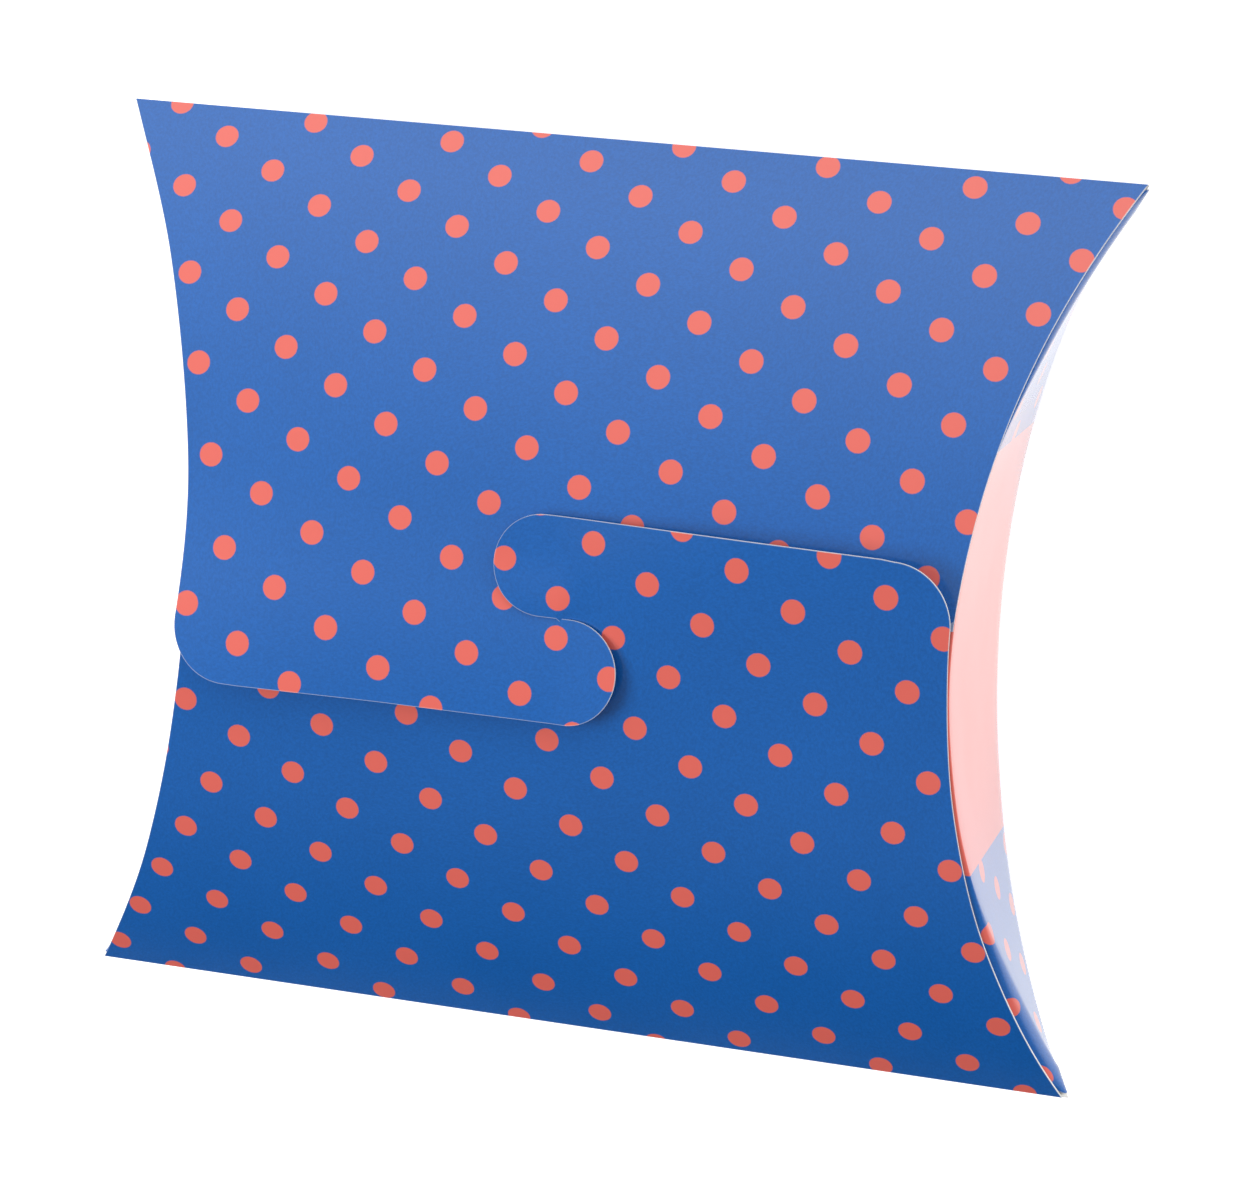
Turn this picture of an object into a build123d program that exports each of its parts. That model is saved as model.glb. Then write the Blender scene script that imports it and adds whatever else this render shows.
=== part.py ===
from build123d import *
import os
from math import asin, cos, sin, sqrt

# A pillow box folded from one sheet of printed board, lying on its back panel.
# X runs from the left end to the right end and Y from the bottom crease to the top crease.
# Z rises out of the front. The origin is under the middle of the box, on the surface it lies on.

# Driving dimensions, in millimetres
box_length = 200.0       # from tip to tip, along the top crease
crease_spacing = 176.0   # straight across, from the bottom crease to the top crease
bulge = 26.8             # the front and the back each stand out this far from the creases
end_inset = 24.5         # the middle of each end wall curves in this far from its tips
board = 0.4              # thickness of the board

# Fits between the layers of board
layer_gap = 0.2          # air between two layers that lie on each other
crease_gap = 0.1         # between a flap and the back panel, along their shared crease
slot_gap = 0.3           # between the two flaps, where they pass each other

# Front flaps
tab_reach = 19.5         # a tab passes the middle of the box by this much
tab_taper = 1.7          # and by this much less at the end of the box
hidden_setback = 6.0     # the covered edge of a flap stops this far short of the middle
tab_corner_radius = 11.0
flap_side_setback = 0.5  # the cut side of a flap stands this far in from the end crease
tab_spring = 9.0         # a tab's free edge springs up by this much at the end of the box
hook_spring = 4.0        # and by this much at the end of its hook
hook_reach = 12.6        # a hook passes the middle of the box by this much

# Wings, one at each end
leaf_depth = 30.0        # the tucked leaf reaches this far in from the middle of its crease
leaf_tip_setback = 3.0   # the leaf stops this far short of the top and bottom creases
bend_setback = 1.2       # the bend along the curved crease starts this far from its corner
bend_strip = 3.0         # narrowest part of the leaf that stays with the end wall
leaf_sweep = 4.0         # room for the leaf's ends as it swings up
wing_tip_setback = 2.5   # a wing stops this far short of the top and bottom creases

# Worked out from the driving dimensions
layer_step = board + layer_gap
half_spacing = crease_spacing / 2
half_length = box_length / 2
cut_overrun = bulge
end_middle = half_length - end_inset
hook_radius = tab_reach / 2
fold_place = end_middle - bend_strip


def arc_radius(chord, rise):
    """Radius of the circle through the ends of a chord that it rises above by this much."""
    return (chord * chord / 4 + rise * rise) / (2 * rise)


back_radius = arc_radius(crease_spacing, bulge)
front_rise = bulge - layer_step
front_radius = arc_radius(crease_spacing, front_rise)
front_centre_height = bulge + front_rise - front_radius
leaf_radius = front_radius - layer_step
side_radius = arc_radius(crease_spacing, end_inset)
side_centre = end_middle + side_radius


def across(section):
    """Extrude a section drawn in Y and Z along the whole length of the box."""
    return extrude(Plane.YZ * section, amount=half_length + cut_overrun, both=True)


def upright(plan):
    """Extrude a plan drawn in X and Y through the whole height of the box."""
    return extrude(plan, amount=2 * bulge + cut_overrun, both=True)


def slab(low, high):
    """A band of the Y and Z plane from one Y to another, wide enough to cut any section."""
    return Pos((low + high) / 2, bulge) * Rectangle(high - low, 4 * bulge)


def ring(centre_height, radius):
    """One thickness of board bent round a circle, drawn in Y and Z."""
    return Pos(0, centre_height) * (Circle(radius) - Circle(radius - board))


def between_sides(setback):
    """The plan between the two curved ends, each moved in by a setback."""
    plan = Rectangle(box_length + 2 * cut_overrun, crease_spacing)
    for side in (-1, 1):
        plan -= Pos(side * (side_centre - setback), 0) * Circle(side_radius)
    return plan


def above_back():
    """The space on the inside of the back panel, as far as the tips of the wings."""
    reach = half_spacing - wing_tip_setback
    return across(Pos(0, back_radius) * Circle(back_radius - board) & slab(-reach, reach))


# Back panel
def back_panel():
    """The curved back, from crease to crease and from end crease to end crease."""
    below_crease = Pos(0, (bulge - crease_gap) / 2 - cut_overrun / 2)
    below_crease *= Rectangle(2 * crease_spacing, bulge - crease_gap + cut_overrun)
    section = ring(back_radius, back_radius) & below_crease
    return across(section) & upright(between_sides(0))


# Front flaps and their hooks
def tab_section(place, spring):
    """The springy end of a flap at one place along X, free edge raised by its spring."""
    turn = asin(hidden_setback / front_radius)
    reach = tab_reach + hidden_setback
    out = Vector(0, sin(turn), cos(turn))
    along = Vector(0, -cos(turn), sin(turn))
    centre = Vector(place, 0, front_centre_height)
    root = centre + out * front_radius
    root_drop = sqrt((front_radius - board) ** 2 - hidden_setback ** 2)
    inner_root = centre + Vector(0, hidden_setback, root_drop)
    sag = reach * reach / (2 * front_radius)
    tip = root + along * reach + out * (spring - sag)
    tip_along = (tip - root - along * (reach / 2)).normalized()
    tip_out = Vector(0, tip_along.Z, -tip_along.Y)
    middle = root + along * (reach / 2)
    middle_out = (out + tip_out).normalized()
    outer = Bezier(root, middle, tip)
    inner = Bezier(inner_root, middle - middle_out * board, tip - tip_out * board)
    edges = [outer, Line(tip, inner @ 1), inner, Line(inner_root, root)]
    return make_face(edges)


def tab_sheet():
    """The upper flap's tab with its hook, before its outline is cut."""
    outer_end = tab_section(-half_length, tab_spring)
    hook_end = tab_section(hook_reach + hook_radius, hook_spring)
    return loft([outer_end, hook_end], ruled=True)


def flap_plan():
    """The upper flap's outline without its hook, with one rounded tab corner."""
    covered = Pos(0, (half_spacing + hidden_setback) / 2)
    covered *= Rectangle(2 * box_length, half_spacing - hidden_setback)
    slot_side = -slot_gap / 2
    tab = Polygon(
        (slot_side, hidden_setback),
        (-half_length, hidden_setback),
        (-half_length, tab_taper - tab_reach),
        (slot_side, -tab_reach),
        align=None,
    )
    plan = between_sides(flap_side_setback) & (covered + tab)
    corner = plan.vertices().sort_by(Axis.Y)[:2].sort_by(Axis.X)[0]
    return fillet(corner, tab_corner_radius)


def upper_flap():
    """Front flap that hinges on the top crease, without its hook."""
    above_crease = Pos(half_spacing, bulge + crease_gap / 2 + cut_overrun)
    above_crease *= Rectangle(2 * (half_spacing - hidden_setback), 2 * cut_overrun)
    panel = across(ring(front_centre_height, front_radius) & above_crease)
    return (panel + tab_sheet()) & upright(flap_plan())


def upper_hook():
    """Rounded end of the upper tab, lying on the lower flap."""
    disc_centre = hook_reach - hook_radius
    block = Pos((disc_centre - slot_gap / 2) / 2, -tab_reach / 2)
    block *= Rectangle(disc_centre + slot_gap / 2, 2 * hook_radius)
    round_end = Pos(disc_centre, -tab_reach / 2) * Circle(hook_radius)
    right_of_slot = Pos(half_length - slot_gap / 2, 0) * Rectangle(box_length, crease_spacing)
    plan = (block + round_end) & right_of_slot
    return Pos(0, 0, layer_step) * tab_sheet() & upright(plan)


# Wings, one at each end
def right_half(start):
    """The plan to the right of a place along X."""
    return Pos(start + half_length, 0) * Rectangle(box_length, crease_spacing)


def wing_block(depth):
    """The right end under the front flaps, its faces moved in by a depth and its crease flattened."""
    front = across(Pos(0, front_centre_height) * Circle(leaf_radius - depth))
    block = front & upright(between_sides(depth) & right_half(0))
    far_edges = block.edges().filter_by(lambda edge: (edge @ 0.5).X > end_middle / 2)
    crease = far_edges.sort_by(lambda edge: (edge @ 0.5).Z)[-1]
    inside_saving = (2 - sqrt(2)) * depth    # keeps the board's thickness through the bend
    return chamfer(crease, bend_setback - inside_saving)


def leaf_plan():
    """Crescent of the tucked leaf on the right, from its crease to its free edge."""
    chord = crease_spacing - 2 * leaf_tip_setback
    depth = end_inset + leaf_depth
    free_radius = arc_radius(chord, depth)
    free_edge = Pos(half_length - depth + free_radius, 0) * Circle(free_radius)
    return free_edge & between_sides(0) & right_half(0)


def right_wing():
    """End wall, softly bent along its curved crease into the strip of its leaf."""
    shell = wing_block(0) - wing_block(board)
    near_crease = Pos(side_centre, 0) * Circle(side_radius + bend_strip) & between_sides(0)
    past_fold = leaf_plan() & right_half(fold_place + leaf_sweep)
    plan = (near_crease & right_half(0)) + past_fold
    return shell & upright(plan) & above_back()


def right_wing_leaf():
    """The part of the leaf that swings up about a straight fold line, just under the flaps."""
    plan = leaf_plan() - right_half(fold_place - layer_step)
    return across(ring(front_centre_height, leaf_radius)) & upright(plan) & above_back()


half_turn = Rot(0, 0, 180)
pieces = {
    "back_panel": back_panel(),
    "upper_flap": upper_flap(),
    "upper_flap_hook": upper_hook(),
    "right_wing": right_wing(),
    "right_wing_leaf": right_wing_leaf(),
}
pieces["lower_flap"] = half_turn * pieces["upper_flap"]
pieces["lower_flap_hook"] = half_turn * pieces["upper_flap_hook"]
pieces["left_wing"] = half_turn * pieces["right_wing"]
pieces["left_wing_leaf"] = half_turn * pieces["right_wing_leaf"]

os.makedirs("parts", exist_ok=True)
for name, piece in pieces.items():
    export_step(piece, f"parts/{name}.step")
    print(name, round(piece.volume), "mm3")
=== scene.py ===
from math import atan2, cos, pi, radians, sin, sqrt

import bpy
import numpy as np
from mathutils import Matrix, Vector
from mathutils.geometry import delaunay_2d_cdt


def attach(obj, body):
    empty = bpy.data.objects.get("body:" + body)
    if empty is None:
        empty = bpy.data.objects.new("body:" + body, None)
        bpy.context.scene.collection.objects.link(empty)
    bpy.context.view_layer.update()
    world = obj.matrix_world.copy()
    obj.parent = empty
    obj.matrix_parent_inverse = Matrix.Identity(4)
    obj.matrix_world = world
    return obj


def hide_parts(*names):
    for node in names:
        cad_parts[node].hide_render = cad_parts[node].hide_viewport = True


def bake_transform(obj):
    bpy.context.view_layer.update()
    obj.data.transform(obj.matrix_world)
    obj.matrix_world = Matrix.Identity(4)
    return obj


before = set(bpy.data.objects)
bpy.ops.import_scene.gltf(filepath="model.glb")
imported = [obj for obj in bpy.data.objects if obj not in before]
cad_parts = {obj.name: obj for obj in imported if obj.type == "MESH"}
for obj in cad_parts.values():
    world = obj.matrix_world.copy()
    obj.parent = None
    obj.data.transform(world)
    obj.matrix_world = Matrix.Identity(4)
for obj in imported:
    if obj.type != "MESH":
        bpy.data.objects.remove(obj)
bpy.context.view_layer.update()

# The box, in millimetres, with the names that the part's source gives them. Only the wings'
# setback is less than the part's, so that they fill the tips.
box_length = 200.0
crease_spacing = 176.0
bulge = 26.8
end_inset = 24.5
board = 0.4
layer_gap = 0.2
tab_reach = 19.5
hidden_setback = 6.0
tab_corner_radius = 11.0
leaf_depth = 30.0
leaf_tip_setback = 3.0
wing_tip_setback = 1.2

# Soft bends, which only the scene has
crease_roll = 0.25      # outer radius of the bend along the top and bottom creases
wing_foot_roll = 1.0    # outer radius where an end wall leaves the back panel
wing_head_roll = 0.45   # outer radius where an end wall bends into its leaf, in the middle
wing_tip_roll = 5.0     # the same near the tips of the wing
roll_taper = 8.0        # the bends of a wing tighten over this length near its tips
head_roll_start = 40.0  # the bend widens between these distances from the middle, along Y
head_roll_end = 75.0
head_roll_share = 0.8   # but to no more than this share of the wall's height
least_roll_share = 0.02     # what is left of the foot's bend at the very tips

# From this height down a flap is flat for a while, and then curves again as the front does.
# That lifts its free end off the curve of the front. The lift is more at some places along X.
flat_start = 22.0
flat_length = 21.0
lift_places = (10.0, 0.0, -35.0, -85.0)
upper_lift = (1.12, 1.0, 1.2, 1.95)
lower_lift = (0.65, 0.65, 1.5, 1.6)
upper_hook_step = 0.2       # a hook stands off the other flap by this much more
lower_hook_step = 1.15
step_run = 6.0              # this step grows over this length towards the middle of the box
step_side_run = 1.6         # and over this length up to a slanting line below the notch
step_sink_share = 0.85      # it sinks again by this share
step_sink_run = 12.0        # over this length down from the middle

# The real box is a little uneven. A tab passes the middle of the box by the first of these
# lengths, and by the second one less at the end of the box. Its hook passes it by the third.
upper_reaches = (19.6, 0.7, 12.4)
lower_reaches = (19.1, 1.7, 13.0)
slot_slack = 0.06       # the outline keeps this far off the other flap's where the two meet
notch_depth = 2.0       # and is cut back by this much between its hook and its covered edge

# How far each edge stands out beyond the part's end crease, at evenly spaced heights from the
# bottom crease to the top crease
right_cut = (-1.8, -1.1, -0.6, -0.3, -0.1, -0.1, 0.0)
left_cut = (1.5, 0.7, 0.6, 0.3, 0.0, 0.0, 1.1)
right_crease = (-0.3, 0.7, 0.0, -0.4, -0.4, 0.6, 0.8)
left_crease = (2.3, 0.9, 0.7, 0.5, 0.3, 0.3, 1.0)
right_foot = (-0.4, -0.2, 0.0, 0.0, 0.0, 0.0, 0.3)
left_foot = (1.1, 0.5, 0.3, 0.3, 0.3, 0.3, 0.6)
foot_lean = 1.6         # an end wall's foot stands in by this much, but for its tips
lean_power = 6          # how suddenly that ends towards the tips
least_leaf = 0.4        # width of a leaf at its pointed ends

# The print
dot_pitch = 12.71
dot_radius = 2.31
print_turn_upper = -29.85    # degrees
print_turn_lower = -30.11
print_start_upper = (-2.87, 42.07)    # middle of one dot, along X and up from the middle
print_start_lower = (2.94, -41.92)
print_slip = (4.0, 1.7)    # the print on the end walls is off by this much, along X and up
slip_power = 4             # how suddenly that ends towards the creases
band_half_width = 40.4
band_middle = -1.2

# Camera, fitted to the photograph
camera_place = (0.2175, 0.1539, 0.7621)
camera_turn = (-10.436, 16.768, 3.515)    # degrees
camera_lens = 116.0
sensor_width = 36.0
camera_near = 0.01

# The soft light round the box: even from the sides, and stronger from above the top crease.
# Heights are those of a direction of length 1 along Y.
world_around = 0.22
around_heights = (-1.0, -0.6)    # it grows to its full strength between these
world_above = 1.0
above_heights = (-0.3, 0.75)
world_curve = 1.3                # how late it grows towards the top

# Lamps, with place and power, and floor, in metres and watts
lamp_width = 0.5
key_lamp = ((-0.6, -0.05, 0.8), 5.2)
side_lamp = ((1.0, -0.1, 0.25), 3.0)
floor_reach = 6
floor_white = (0.82, 0.82, 0.82, 1)
floor_roughness = 0.9
floor_to_camera = 0.72           # how much brighter the camera sees it
floor_in_reflections = 0.74      # and how much brighter the print reflects it near the box, a painted glow
reflection_ends = (0.15, 0.45)   # which fades out between these distances

# Meshes
MM = 0.001
mesh_step = 2.5
mesh_columns = np.arange(-box_length / 2, box_length / 2, mesh_step)
row_clearance = 0.5     # rows keep this far from the corners of an outline
column_clearance = 1.0  # and columns this far
corner_points = 18
hook_points = 40
roll_rows = 9
foot_rows = 6
wall_rows = 14
leaf_rows = 26
wing_columns = 121
same_point = 1e-6
inside_only = 1         # what the triangulation keeps
half_turn = (-1, -1, 1)    # X, Y and Z times these are turned to the other end of the box


def arc_radius(chord, rise):
    """Radius of the circle through the ends of a chord that it rises above by this much."""
    return (chord * chord / 4 + rise * rise) / (2 * rise)


layer_step = board + layer_gap
half_spacing = crease_spacing / 2
half_length = box_length / 2
end_middle = half_length - end_inset
back_radius = arc_radius(crease_spacing, bulge)
front_rise = bulge - layer_step
front_radius = arc_radius(crease_spacing, front_rise)
front_centre = bulge + front_rise - front_radius
leaf_radius = front_radius - layer_step
side_radius = arc_radius(crease_spacing, end_inset)
side_centre = end_middle + side_radius

# The roll along the top crease touches the outside of the front and of the back
reach_front = front_radius - crease_roll
reach_back = back_radius - crease_roll
roll_z = (reach_front ** 2 - reach_back ** 2 + back_radius ** 2 - front_centre ** 2)
roll_z /= 2 * (back_radius - front_centre)
roll_y = sqrt(reach_front ** 2 - (roll_z - front_centre) ** 2)
front_turn = atan2(roll_y, roll_z - front_centre)
back_turn = atan2(roll_y, back_radius - roll_z)
roll_turn = pi - front_turn - back_turn

# Distances along the unfolded board, from the middle of the front over the top crease
front_end = front_radius * front_turn
back_start = front_end + crease_roll * roll_turn
back_middle = back_start + back_radius * back_turn
blank_length = 2 * back_middle


# Small helpers
def smooth_step(low, high, value):
    """Goes from 0 to 1 with level ends as the value goes from low to high."""
    share = np.clip((value - low) / (high - low), 0, 1)
    return share * share * (3 - 2 * share)


def side_place(y):
    """How far along X the end crease is, at a height on the front."""
    return side_centre - np.sqrt(side_radius ** 2 - y ** 2)


def uneven(values, y):
    """How far the real box stands out at a height, going smoothly through the values."""
    place = np.clip((y / half_spacing + 1) / 2, 0, 1) * (len(values) - 1)
    step = np.minimum(np.floor(place), len(values) - 2).astype(int)
    share = smooth_step(0, 1, place - step)
    values = np.array(values)
    return (1 - share) * values[step] + share * values[step + 1]


def front_along(y):
    """Distance along the curved front, from its middle."""
    return front_radius * np.arcsin(y / front_radius)


def even_steps(start, end, step):
    """Evenly spaced values from start to end, both included, no wider apart than the step."""
    return np.linspace(start, end, max(2, int(abs(end - start) / step) + 2))


def other_end(flat):
    """The same places of the unfolded board, turned to the other end of the box."""
    return np.column_stack([-flat[:, 0], blank_length - flat[:, 1]])


# The print on the unfolded board
def lattice_place(x, along, start, turn):
    """A place on the board in steps of the dot pattern, whose dots are at whole numbers."""
    turn = radians(turn)
    dx = x - start[0]
    dy = along - start[1]
    across = (dx * cos(turn) + dy * sin(turn)) / dot_pitch
    up = (dy * cos(turn) - dx * sin(turn)) / dot_pitch
    return np.stack([across, up], axis=-1)


def print_place(x, along):
    """Dot pattern of the whole board, which joins what both front flaps show."""
    from_middle = (along - back_middle) / (back_middle - back_start)
    slip = np.clip(1 - from_middle ** slip_power, 0, 1) * smooth_step(0, end_middle, np.abs(x))
    slip = slip * np.sign(x)
    x, along = x - slip * print_slip[0], along - slip * print_slip[1]
    upper = lattice_place(x, along, print_start_upper, print_turn_upper)
    lower = lattice_place(x, along - blank_length, print_start_lower, print_turn_lower)
    steps_between = np.round(lattice_place(
        print_start_lower[0], print_start_lower[1] + blank_length,
        print_start_upper, print_turn_upper))
    share = np.clip((along - back_start) / (blank_length - 2 * back_start), 0, 1)
    share = np.expand_dims(share, -1)
    return (1 - share) * upper + share * (lower + steps_between)


# Meshes of board
def rim_of(faces):
    """Edges that only one face has, in that face's direction."""
    directed = {(f[i - 1], f[i]) for f in faces for i in range(len(f))}
    return [(a, b) for a, b in directed if (b, a) not in directed]


def board_piece(name, outer, normals, faces, flat, band, cut_distance, materials):
    """A sheet of board, printed outside and plain inside, with its bare core on its edges."""
    count = len(outer)
    inner = outer - board * normals
    rim = rim_of(faces)
    printed = [tuple(f) for f in faces]
    plain = [tuple(i + count for i in reversed(f)) for f in faces]
    core = [(b, a, a + count, b + count) for a, b in rim]
    mesh = bpy.data.meshes.new(name)
    mesh.from_pydata(np.vstack([outer, inner]) * MM, [], printed + plain + core)
    kinds = [0] * len(printed) + [1] * len(plain) + [2] * len(core)
    mesh.polygons.foreach_set("material_index", kinds)
    mesh.polygons.foreach_set("use_smooth", [kind < 2 for kind in kinds])
    sharp = {frozenset(edge) for edge in rim}
    sharp |= {frozenset((a + count, b + count)) for a, b in rim}
    for edge in mesh.edges:
        edge.use_edge_sharp = frozenset(edge.vertices) in sharp
    dots = print_place(flat[:, 0], flat[:, 1])
    add_vectors(mesh, "print", np.column_stack([dots, band]))
    add_vectors(mesh, "flat", np.column_stack([flat, cut_distance]))
    for material in materials:
        mesh.materials.append(material)
    mesh.validate()
    piece = bpy.data.objects.new(name, mesh)
    bpy.context.scene.collection.objects.link(piece)
    return piece


def add_vectors(mesh, name, values):
    """Keep a vector at each point of a sheet, the same on its inside as on its outside."""
    attribute = mesh.attributes.new(name, "FLOAT_VECTOR", "POINT")
    both = np.vstack([values, values]).astype(np.float32)
    attribute.data.foreach_set("vector", both.ravel())


def inside_outline(points, outline):
    """Which points are inside a closed outline."""
    after = np.roll(outline, -1, axis=0)
    x, y = points[:, :1], points[:, 1:]
    spans = (outline[:, 1] > y) != (after[:, 1] > y)
    rise = np.where(after[:, 1] == outline[:, 1], 1, after[:, 1] - outline[:, 1])
    crossing = outline[:, 0] + (y - outline[:, 1]) / rise * (after[:, 0] - outline[:, 0])
    return (spans & (x < crossing)).sum(axis=1) % 2 == 1


def fill_outline(outline, rows):
    """Points and triangles that fill a flat outline, its inner points in rows and columns."""
    even_rows = mesh_step * np.arange(len(rows))    # spread apart while the triangles are found
    spread = np.interp(outline[:, 1], rows, even_rows)
    outline = np.column_stack([outline[:, 0], spread])
    grid = np.stack(np.meshgrid(mesh_columns, even_rows), axis=-1).reshape(-1, 2)
    grid = grid[inside_outline(grid, outline)]
    apart = np.linalg.norm(grid[:, None] - outline[None], axis=2).min(axis=1)
    grid = grid[apart > mesh_step / 2]
    points = [Vector(p) for p in np.vstack([outline, grid])]
    around = [(i, (i + 1) % len(outline)) for i in range(len(outline))]
    found = delaunay_2d_cdt(points, around, [], inside_only, same_point)
    flat = np.array([tuple(p) for p in found[0]])
    flat[:, 1] = np.interp(flat[:, 1], even_rows, rows)
    return flat, [tuple(f) for f in found[2]]


def distance_to(points, starts, ends):
    """How far each point is from the nearest of these straight edges."""
    run = ends - starts
    offset = points[:, None] - starts[None]
    share = np.clip((offset * run).sum(axis=2) / (run ** 2).sum(axis=1), 0, 1)
    return np.linalg.norm(offset - share[..., None] * run, axis=2).min(axis=1)


def arc_points(centre, radius, start, end, count):
    """Points on a circle from one angle to another, in degrees."""
    angles = np.radians(np.linspace(start, end, count))
    return np.array(centre) + radius * np.column_stack([np.cos(angles), np.sin(angles)])


# Front flaps with their hooks
def flap_rows():
    """Rows of the flap's mesh, closer together round the roll along the crease."""
    start = front_along(-tab_reach) - mesh_step
    panel = even_steps(start, front_end - crease_roll, mesh_step)
    roll = np.linspace(front_end, back_start, roll_rows)
    return np.concatenate([panel, roll])


def along_to_y(along):
    """Height on the front of a place along it, the roll included."""
    turned = front_turn + (along - front_end) / crease_roll
    on_roll = roll_y + crease_roll * np.sin(turned)
    return np.where(along > front_end, on_roll, front_radius * np.sin(along / front_radius))


def flap_free_edge(right_values, left_values, reaches):
    """The upper flap's free edge in X and Y, from its rounded corner over its hook."""
    reach, taper, hook_reach = reaches
    hook_radius = reach / 2
    circle_x = side_centre + uneven(left_values, tab_corner_radius - reach)
    corner_y = tab_corner_radius - reach + taper * end_middle / half_length
    corner_x = sqrt((side_radius + tab_corner_radius) ** 2 - corner_y ** 2) - circle_x
    corner_turn = 180 - np.degrees(np.arcsin(-corner_y / (side_radius + tab_corner_radius)))
    corner = arc_points(
        (corner_x, corner_y), tab_corner_radius, corner_turn, 270, corner_points)
    hook_centre = (hook_reach - hook_radius, -hook_radius)
    hook = arc_points(hook_centre, hook_radius, -90, 90, hook_points)
    bottom = even_steps(corner_x, hook_centre[0], mesh_step)[1:-1]
    bottom_y = taper * np.clip(-bottom / half_length, 0, 1) - reach
    notch = [
        (slot_slack, 0),
        (-slot_slack, slot_slack),
        (-notch_depth, notch_depth),
        (-notch_depth, hidden_setback),
    ]
    covered_end = side_place(hidden_setback) + uneven(right_values, hidden_setback)
    covered = even_steps(-notch_depth, covered_end, mesh_step)[1:]
    return np.vstack([
        corner,
        np.column_stack([bottom, bottom_y]),
        hook,
        notch,
        np.column_stack([covered, np.full(len(covered), hidden_setback)]),
    ])


def flap_outline(right_values, left_values, reaches):
    """The upper flap's outline on the unfolded board, tab to the left and hook to the right."""
    rows = flap_rows()
    plan = flap_free_edge(right_values, left_values, reaches)
    flat = np.column_stack([plan[:, 0], front_along(plan[:, 1])])
    right = rows[rows > flat[-1, 1] + row_clearance]
    left = rows[rows > flat[0, 1] + row_clearance][::-1]
    right_y, left_y = along_to_y(right), along_to_y(left)
    right_x = side_place(right_y) + uneven(right_values, right_y)
    left_x = -side_place(left_y) - uneven(left_values, left_y)
    within = mesh_columns < right_x[-1] - column_clearance
    within &= mesh_columns > left_x[0] + column_clearance
    top = mesh_columns[within][::-1]
    return np.vstack([
        flat,
        np.column_stack([right_x, right]),
        np.column_stack([top, np.full(len(top), back_start)]),
        np.column_stack([left_x, left]),
    ])


def flap_lift(x, along, shares, hook_step):
    """How far the upper flap stands off the curve of the front."""
    share = np.interp(-x, -np.array(lift_places), shares)
    flat_run = np.clip(flat_start - along, 0, flat_length)
    tilted_run = np.clip(flat_start - flat_length - along, 0, None)
    lift = share * flat_run * (flat_run / 2 + tilted_run) / front_radius
    past_slot = smooth_step(-step_run, 0, x)
    past_slot = past_slot * smooth_step(-step_side_run, 0, np.minimum(x, 0) - along)
    left_over = 1 - step_sink_share * smooth_step(0, step_sink_run, -along)
    return lift + hook_step * past_slot * left_over


def flap_place(x, along, shares, hook_step):
    """A place of the upper flap, in millimetres."""
    on_roll = along > front_end
    turned = front_turn + (along - front_end) / crease_roll
    turned = np.where(on_roll, turned, along / front_radius)
    y = np.where(on_roll, roll_y, 0)
    z = np.where(on_roll, roll_z, front_centre)
    radius = np.where(on_roll, crease_roll, front_radius + flap_lift(x, along, shares, hook_step))
    return np.stack([x, y + radius * np.sin(turned), z + radius * np.cos(turned)], axis=-1)


def normals_of(place, x, along):
    """Outward directions of a surface given by a function of two values."""
    nudge = 0.01
    across = place(x + nudge, along) - place(x - nudge, along)
    up = place(x, along + nudge) - place(x, along - nudge)
    normals = np.cross(across, up)
    return normals / np.linalg.norm(normals, axis=-1, keepdims=True)


def front_flap(name, half_turned, reaches, lift, materials):
    """A front flap, which the crease's roll joins to the back panel."""
    def place(x, along):
        return flap_place(x, along, *lift)

    values = (left_cut[::-1], right_cut[::-1]) if half_turned else (right_cut, left_cut)
    outline = flap_outline(*values, reaches)
    flat, faces = fill_outline(outline, flap_rows())
    outer = place(flat[:, 0], flat[:, 1])
    normals = normals_of(place, flat[:, 0], flat[:, 1])
    after = np.roll(outline, -1, axis=0)
    cut = (outline[:, 1] < front_end) & (after[:, 1] < front_end)
    cut_distance = distance_to(flat, outline[cut], after[cut])
    if half_turned:
        outer = outer * half_turn
        normals = normals * half_turn
        flat = other_end(flat)
    no_band = np.full(len(flat), -1.0)
    piece = board_piece(
        name, outer, normals, faces, flat, no_band, cut_distance, materials)
    flap = name.removesuffix("_board")
    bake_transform(piece)
    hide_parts(flap, flap + "_hook")
    return piece


# Back panel
def foot_roll(y):
    """Radius of the bend between the back panel and an end wall."""
    tip = half_spacing - wing_tip_setback
    return wing_foot_roll * np.clip((tip - np.abs(y)) / roll_taper, least_roll_share, 1)


def head_roll(y, height):
    """Radius of the bend between an end wall of this height and its leaf."""
    widened = smooth_step(head_roll_start, head_roll_end, np.abs(y))
    radius = wing_head_roll + (wing_tip_roll - wing_head_roll) * widened
    return np.minimum(radius, height * head_roll_share)


def foot_side(values, y):
    """How far along X the back panel's end crease is, at a height."""
    lean = foot_lean * (1 - (y / half_spacing) ** lean_power)
    return side_place(y) + uneven(values, y) - lean


def back_place(x, along):
    """A place of the back panel, in millimetres, with distances along it from its middle."""
    turned = along / back_radius
    y = back_radius * np.sin(turned)
    return np.stack([x, y, back_radius - back_radius * np.cos(turned)], axis=-1)


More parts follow.
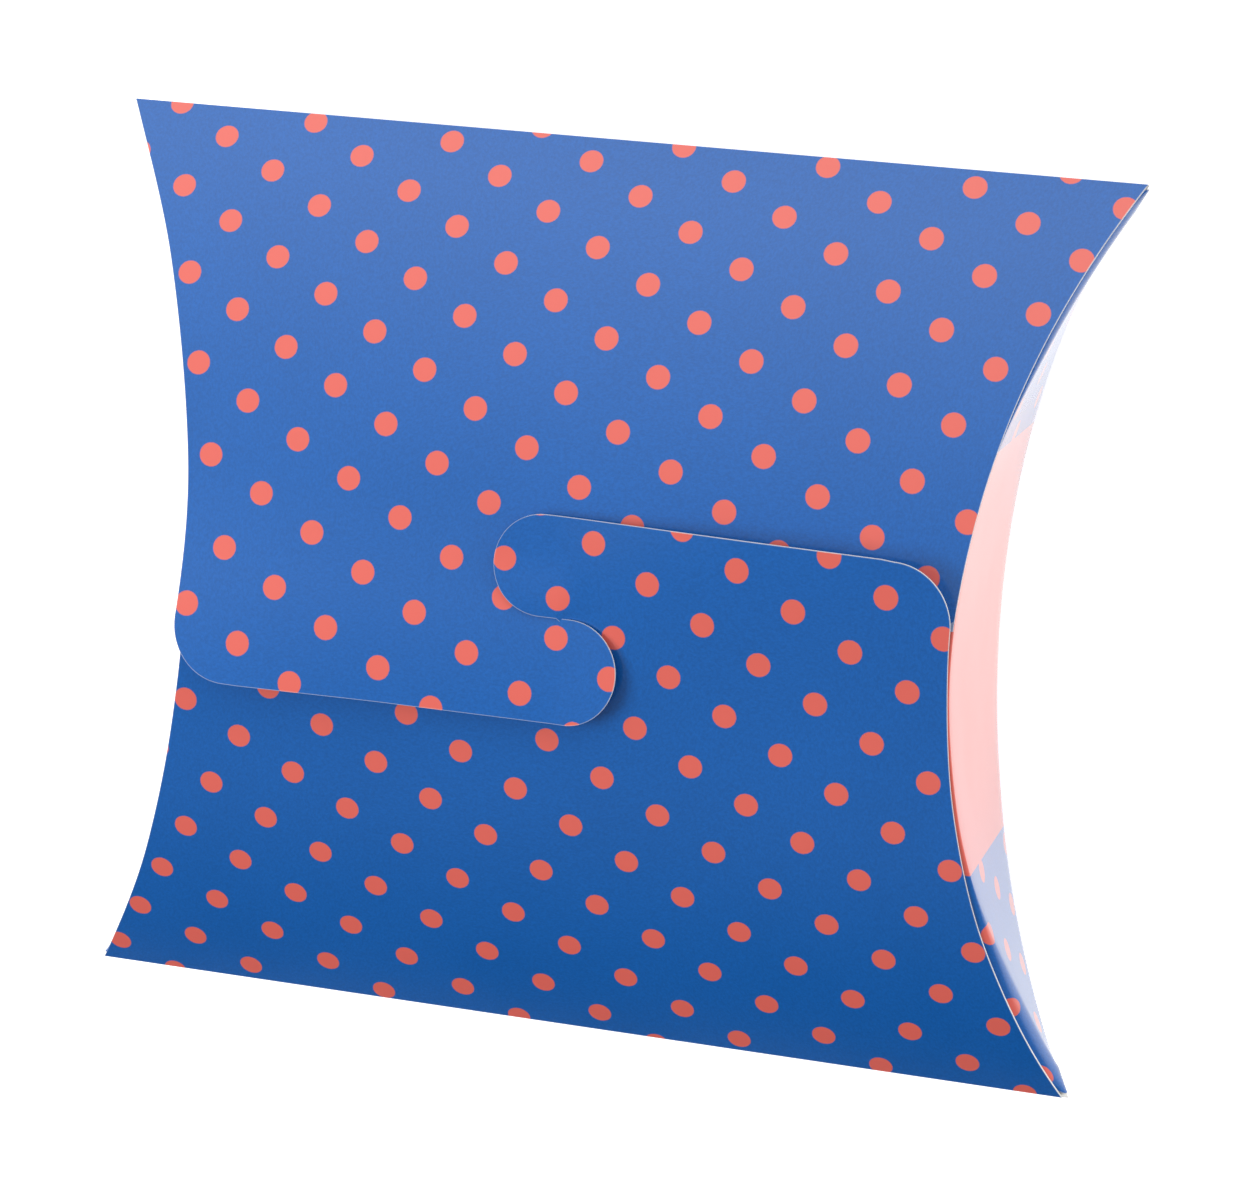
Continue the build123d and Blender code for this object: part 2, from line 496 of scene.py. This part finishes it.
def back_panel(materials):
    """The back panel between the rolls along its four creases."""
    reach = back_radius * back_turn
    rows = even_steps(-reach, reach, mesh_step)
    edge_y = back_radius * np.sin(rows / back_radius)
    right_x = foot_side(right_foot, edge_y) - foot_roll(edge_y)
    left_x = foot_roll(edge_y) - foot_side(left_foot, edge_y)
    across = mesh_columns[np.abs(mesh_columns) < half_length - 2 * column_clearance]
    outline = np.vstack([
        np.column_stack([across, np.full(len(across), -reach)]),
        np.column_stack([right_x, rows]),
        np.column_stack([across[::-1], np.full(len(across), reach)]),
        np.column_stack([left_x, rows])[::-1],
    ])
    flat, faces = fill_outline(outline, rows)
    outer = back_place(flat[:, 0], flat[:, 1])
    normals = -normals_of(back_place, flat[:, 0], flat[:, 1])
    faces = [face[::-1] for face in faces]
    flat = np.column_stack([flat[:, 0], back_middle - flat[:, 1]])
    no_band = np.full(len(flat), -1.0)
    uncut = np.full(len(flat), half_length)
    piece = board_piece(
        "back_panel_board", outer, normals, faces, flat, no_band, uncut, materials)
    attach(piece, "root")
    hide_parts("back_panel")
    return piece


# Wings
def quarter(radius, start, count):
    """A quarter turn of a roll, as steps out along X and up along Z from its middle."""
    angles = np.radians(start + np.linspace(0, 90, count))[:, None]
    return radius * np.cos(angles), radius * np.sin(angles)


def wing_grid(crease_values, foot_values):
    """Rows from the back panel up the right end wall and in over the leaf, along Y."""
    tip = half_spacing - wing_tip_setback
    y = np.linspace(-tip, tip, wing_columns)
    wall = side_place(y) + uneven(crease_values, y)
    wall_foot = foot_side(foot_values, y)
    low = back_radius - np.sqrt(back_radius ** 2 - y ** 2)
    high = front_centre + np.sqrt(leaf_radius ** 2 - y ** 2)
    foot, head = foot_roll(y), head_roll(y, high - low)
    chord = crease_spacing - 2 * leaf_tip_setback
    leaf_reach = end_inset + leaf_depth
    free_radius = arc_radius(chord, leaf_reach)
    within = np.clip(free_radius ** 2 - y ** 2, 0, None)
    free_edge = half_length - leaf_reach + free_radius - np.sqrt(within)
    free_edge = np.minimum(free_edge, wall - head - least_leaf)
    foot_x, foot_z = quarter(foot, -90, foot_rows)
    head_x, head_z = quarter(head, 0, roll_rows)
    climb = np.linspace(0, 1, wall_rows)[1:-1, None]
    inward = np.linspace(0, 1, leaf_rows)[1:, None]
    x = np.vstack([
        wall_foot - foot + foot_x,
        wall_foot * (1 - climb) + wall * climb,
        wall - head + head_x,
        (wall - head) * (1 - inward) + free_edge * inward,
    ])
    z = np.vstack([
        low + foot + foot_z,
        (low + foot) * (1 - climb) + (high - head) * climb,
        high - head + head_z,
        high + 0 * inward,
    ])
    return np.stack([x, np.broadcast_to(y, x.shape), z], axis=-1)


def grid_faces(rows, columns):
    """Faces between the points of a grid, four points each."""
    numbers = np.arange(rows * columns).reshape(rows, columns)
    corners = [numbers[:-1, :-1], numbers[:-1, 1:], numbers[1:, 1:], numbers[1:, :-1]]
    return np.stack(corners, axis=-1).reshape(-1, 4).tolist()


def grid_normals(grid):
    """Outward directions at the points of a grid."""
    normals = np.cross(np.gradient(grid, axis=1), np.gradient(grid, axis=0))
    return normals / np.linalg.norm(normals, axis=-1, keepdims=True)


def end_wing(name, half_turned, materials):
    """An end wall with its leaf, in one piece."""
    if half_turned:
        grid = wing_grid(left_crease[::-1], left_foot[::-1])
    else:
        grid = wing_grid(right_crease, right_foot)
    rows, columns = grid.shape[:2]
    steps = np.linalg.norm(np.diff(grid, axis=0), axis=-1)
    climbed = np.vstack([np.zeros(columns), np.cumsum(steps, axis=0)])
    flat_x = grid[0, :, 0] + climbed
    along = back_radius * np.arcsin(grid[:, :, 1] / back_radius)
    faces = grid_faces(rows, columns)
    outer = grid.reshape(-1, 3)
    normals = grid_normals(grid).reshape(-1, 3)
    flat = np.column_stack([flat_x.ravel(), back_middle - along.ravel()])
    band = band_half_width - np.abs(along.ravel() - band_middle)
    to_tip = np.abs(along[:, :1]) - np.abs(along)
    cut_distance = np.minimum(climbed[-1] - climbed, to_tip).ravel()
    if half_turned:
        outer = outer * half_turn
        normals = normals * half_turn
        flat = other_end(flat)
        band = band_half_width - np.abs(along.ravel() + band_middle)
    piece = board_piece(name, outer, normals, faces, flat, band, cut_distance, materials)
    wing = name.removesuffix("_board")
    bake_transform(piece)
    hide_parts(wing, wing + "_leaf")
    return piece


# Materials
blue = (0.006, 0.120, 0.455, 1)
coral = (0.84, 0.152, 0.118, 1)
plain_white = (0.80, 0.79, 0.76, 1)
core_white = (0.86, 0.86, 0.85, 1)

dot_waver = 0.12            # the ink's edge wanders by this much, in millimetres
dot_blur = 0.12             # and fades over twice this much
band_blur = 0.1
rim_blur = (0.16, 0.04)     # the bare rim of the print shows between these distances from a cut
rim_share = 0.35
fibre_range = (0.25, 0.75)  # what a noise counts between
patch_range = (0.3, 0.7)
print_shades = (0.86, 1.14)
patch_shades = (0.98, 1.02)
print_roughness = (0.28, 0.32)
print_specular = 0.35
film_weight = 1.0
film_roughness = 0.12
bare_range = (0.2, 0.8)
bare_shades = (0.95, 1.03)
bare_roughness = (0.7, 0.85)
print_bump = 0.03
bare_bump = 0.15
bump_height = 0.0001        # in metres
half = (0.5, 0.5, 0.5)      # half a step of the dot pattern
white = (1, 1, 1, 1)

# Each noise has a scale per millimetre, a detail and a roughness
waver_noise = (2.5, 2.0, 0.5)
fibre_noise = (1.6, 4.0, 0.7)
patch_noise = (0.03, 2.0, 0.5)
plain_noise = (1.2, 5.0, 0.7)
core_noise = (4.0, 5.0, 0.7)


class Nodes:
    """Short names for adding and joining the nodes of a material or a world."""

    def __init__(self, owner, shader="Principled BSDF"):
        owner.use_nodes = True
        self.owner = owner
        self.tree = owner.node_tree
        self.shader = self.tree.nodes[shader]

    def add(self, kind, inputs=(), **settings):
        """Add a node, set its settings and join or set its inputs."""
        node = self.tree.nodes.new("ShaderNode" + kind)
        for key, value in settings.items():
            setattr(node, key, value)
        for key, value in dict(inputs).items():
            self.give(node.inputs[key], value)
        return node

    def give(self, socket, value):
        """Join a socket to another one, or set its value."""
        if isinstance(value, bpy.types.NodeSocket):
            self.tree.links.new(value, socket)
        else:
            socket.default_value = value

    def look(self, **values):
        """Join or set inputs of the shader, named with underscores for spaces."""
        for key, value in values.items():
            self.give(self.shader.inputs[key.replace("_", " ")], value)

    def math(self, operation, first, second=0.0, third=0.0):
        """One step of arithmetic."""
        inputs = {0: first, 1: second, 2: third}
        return self.add("Math", inputs, operation=operation).outputs[0]

    def vector(self, operation, first, second=None):
        """One step of arithmetic with vectors."""
        inputs = {0: first} if second is None else {0: first, 1: second}
        return self.add("VectorMath", inputs, operation=operation).outputs[0]

    def length(self, vector):
        """Length of a vector."""
        return self.add("VectorMath", {0: vector}, operation="LENGTH").outputs["Value"]

    def attribute(self, name):
        """A vector that the mesh keeps at its points."""
        return self.add("Attribute", attribute_name=name).outputs["Vector"]

    def third_of(self, vector):
        """Third value of a vector."""
        return self.add("SeparateXYZ", {0: vector}).outputs[2]

    def ramp(self, value, low, high, to_low=0.0, to_high=1.0, kind="LINEAR"):
        """Goes from one value to another as the first value goes from low to high."""
        inputs = {"Value": value, "From Min": low, "From Max": high}
        inputs.update({"To Min": to_low, "To Max": to_high})
        return self.add("MapRange", inputs, interpolation_type=kind).outputs[0]

    def smooth(self, value, low, high, to_low=0.0, to_high=1.0):
        """The same with level ends."""
        return self.ramp(value, low, high, to_low, to_high, "SMOOTHSTEP")

    def mix(self, share, first, second):
        """Mix two colours."""
        inputs = {0: share, 6: first, 7: second}
        return self.add("Mix", inputs, data_type="RGBA").outputs[2]

    def bump(self, height, strength):
        """Tiny unevenness of a surface."""
        inputs = {"Height": height, "Strength": strength, "Distance": bump_height}
        return self.add("Bump", inputs).outputs[0]

    def noise(self, vector, scale, detail, roughness):
        """Noise between 0 and 1."""
        inputs = {"Vector": vector, "Scale": scale, "Detail": detail, "Roughness": roughness}
        return self.add("TexNoise", inputs).outputs["Fac"]


def printed_material():
    """Blue print with coral dots and a coral band, under a thin clear film."""
    m = Nodes(bpy.data.materials.new("printed_board"))
    place, flat = m.attribute("print"), m.attribute("flat")
    cell = m.vector("FRACTION", m.vector("ADD", place, half))
    centred = m.vector("MULTIPLY", m.vector("SUBTRACT", cell, half), (1, 1, 0))
    away = m.math("MULTIPLY", m.length(centred), dot_pitch)
    wander = m.noise(flat, *waver_noise)
    edge = m.math("MULTIPLY_ADD", wander, dot_waver, dot_radius - dot_waver / 2)
    dot = m.smooth(m.math("SUBTRACT", away, edge), dot_blur, -dot_blur)
    band = m.smooth(m.third_of(place), -band_blur, band_blur)
    ink = m.math("MAXIMUM", dot, band)
    fibre = m.noise(flat, *fibre_noise)
    patch = m.noise(flat, *patch_noise)
    fibre_shade = m.smooth(fibre, *fibre_range, *print_shades)
    patch_shade = m.smooth(patch, *patch_range, *patch_shades)
    shade = m.math("MULTIPLY", fibre_shade, patch_shade)
    ground = m.add("HueSaturation", {"Value": shade, "Color": blue}).outputs[0]
    rim = m.smooth(m.third_of(flat), *rim_blur, 0.0, rim_share)
    m.look(
        Base_Color=m.mix(rim, m.mix(ink, ground, coral), core_white),
        Roughness=m.smooth(patch, *patch_range, *print_roughness),
        Specular_IOR_Level=print_specular,
        Coat_Weight=film_weight,
        Coat_Roughness=film_roughness,
        Normal=m.bump(fibre, print_bump),
    )
    return m.owner


def bare_material(name, colour, noise):
    """Uncoated board with fine fibres."""
    m = Nodes(bpy.data.materials.new(name))
    fibre = m.noise(m.attribute("flat"), *noise)
    shade = m.smooth(fibre, *fibre_range, *bare_shades)
    m.look(
        Base_Color=m.add("HueSaturation", {"Value": shade, "Color": colour}).outputs[0],
        Roughness=m.smooth(fibre, *bare_range, *bare_roughness),
        Normal=m.bump(fibre, bare_bump),
    )
    return m.owner


# Floor, light and camera
def seen_directly(m, path):
    """1 for what the camera sees, also through something clear, and 0 for all else."""
    return m.math("MAXIMUM", path.outputs["Is Camera Ray"], path.outputs["Is Transmission Ray"])


def floor_plane():
    """A wide white floor that keeps the object's shadow, brightened where the camera sees it, and
    with a painted glow near the box that only reflections show.
    """
    m = Nodes(bpy.data.materials.new("floor"))
    away = m.length(m.add("NewGeometry").outputs["Position"])
    near_box = m.smooth(away, *reflection_ends, floor_in_reflections, 0.0)
    path = m.add("LightPath")
    straight = m.math("MULTIPLY", seen_directly(m, path), floor_to_camera)
    # painted reflection: near the box the floor glows for glossy rays only, so the print reflects
    # a brighter floor there
    reflected = m.math("MULTIPLY", path.outputs["Is Glossy Ray"], near_box)
    m.look(
        Base_Color=floor_white,
        Roughness=floor_roughness,
        Specular_IOR_Level=0.0,
        Emission_Color=white,
        Emission_Strength=m.math("ADD", straight, reflected),
    )
    mesh = bpy.data.meshes.new("floor")
    turns = ((-1, -1), (1, -1), (1, 1), (-1, 1))
    corners = [(x * floor_reach, y * floor_reach, 0) for x, y in turns]
    mesh.from_pydata(corners, [], [(0, 1, 2, 3)])
    mesh.materials.append(m.owner)
    floor = bpy.data.objects.new("floor", mesh)
    bpy.context.scene.collection.objects.link(floor)


def white_world():
    """White to the camera, and a soft light that is brighter from above the top crease."""
    world = bpy.data.worlds.new("studio")
    bpy.context.scene.world = world
    m = Nodes(world, "Background")
    direction = m.add("TexCoord").outputs["Generated"]
    height = m.add("SeparateXYZ", {0: direction}).outputs["Y"]
    around = m.smooth(height, *around_heights, 0.0, world_around)
    above = m.math("POWER", m.ramp(height, *above_heights), world_curve)
    strength = m.math("MULTIPLY_ADD", above, world_above, around)
    seen = seen_directly(m, m.add("LightPath"))
    shown = m.add("Mix", {0: seen, 2: strength, 3: 1.0}).outputs[0]
    m.look(Color=white, Strength=shown)


def soft_light(name, place, power):
    """A square soft light that faces the box."""
    light = bpy.data.lights.new(name, "AREA")
    light.size = lamp_width
    light.energy = power
    lamp = bpy.data.objects.new(name, light)
    lamp.location = place
    towards = Vector((0, 0, bulge * MM)) - Vector(place)
    lamp.rotation_euler = towards.to_track_quat("-Z", "Y").to_euler()
    lamp.visible_glossy = False
    bpy.context.scene.collection.objects.link(lamp)


def photo_camera():
    """The camera that the photograph was taken with."""
    data = bpy.data.cameras.new("camera")
    data.lens = camera_lens
    data.sensor_width = sensor_width
    data.clip_start = camera_near
    camera = bpy.data.objects.new("camera", data)
    camera.location = camera_place
    camera.rotation_euler = [radians(turn) for turn in camera_turn]
    bpy.context.scene.collection.objects.link(camera)
    bpy.context.scene.camera = camera


board_materials = [
    printed_material(),
    bare_material("plain_board", plain_white, plain_noise),
    bare_material("board_core", core_white, core_noise),
]
upper_stance = (upper_lift, upper_hook_step)
lower_stance = (lower_lift, lower_hook_step)
front_flap("upper_flap_board", False, upper_reaches, upper_stance, board_materials)
front_flap("lower_flap_board", True, lower_reaches, lower_stance, board_materials)
back_panel(board_materials)
end_wing("right_wing_board", False, board_materials)
end_wing("left_wing_board", True, board_materials)

floor_plane()
white_world()
soft_light("key", *key_lamp)
soft_light("side", *side_lamp)
photo_camera()
bpy.context.scene.view_settings.view_transform = "Standard"
